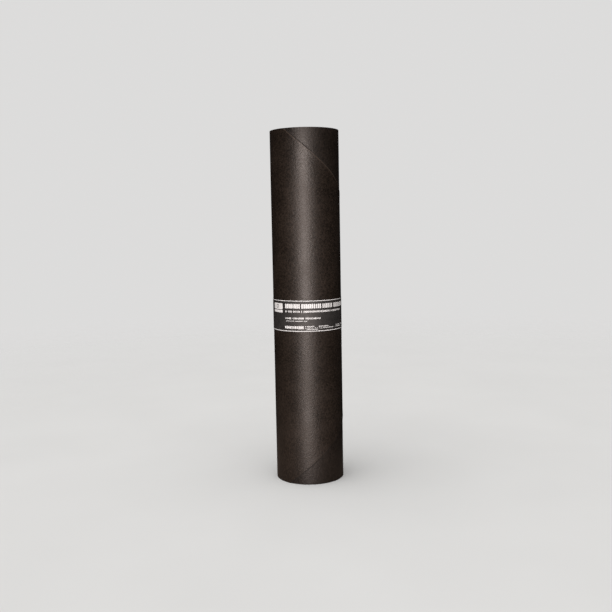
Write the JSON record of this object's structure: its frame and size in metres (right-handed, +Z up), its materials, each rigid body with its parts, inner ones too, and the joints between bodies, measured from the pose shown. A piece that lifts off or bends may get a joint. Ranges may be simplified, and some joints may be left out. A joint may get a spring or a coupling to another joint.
{
  "type": "roll of roofing felt",
  "caption": "Standing roll of dark asphalt-saturated roofing felt with an open bore, a tapered free end and a printed paper band round its middle.",
  "frame": {"origin": "middle of the roll's lower end, on the surface that it stands on", "axes": "+Z up the roll's axis, -Y towards the front of the label band, +X to the right of someone facing that front"},
  "size_m": [0.1807, 0.1806, 0.9144],
  "materials": {
    "felt": "satin",
    "label_paper": "satin"
  },
  "bodies": {
    "root": {"felt_roll": "felt", "label_band": "label_paper"}
  },
  "joints": []
}
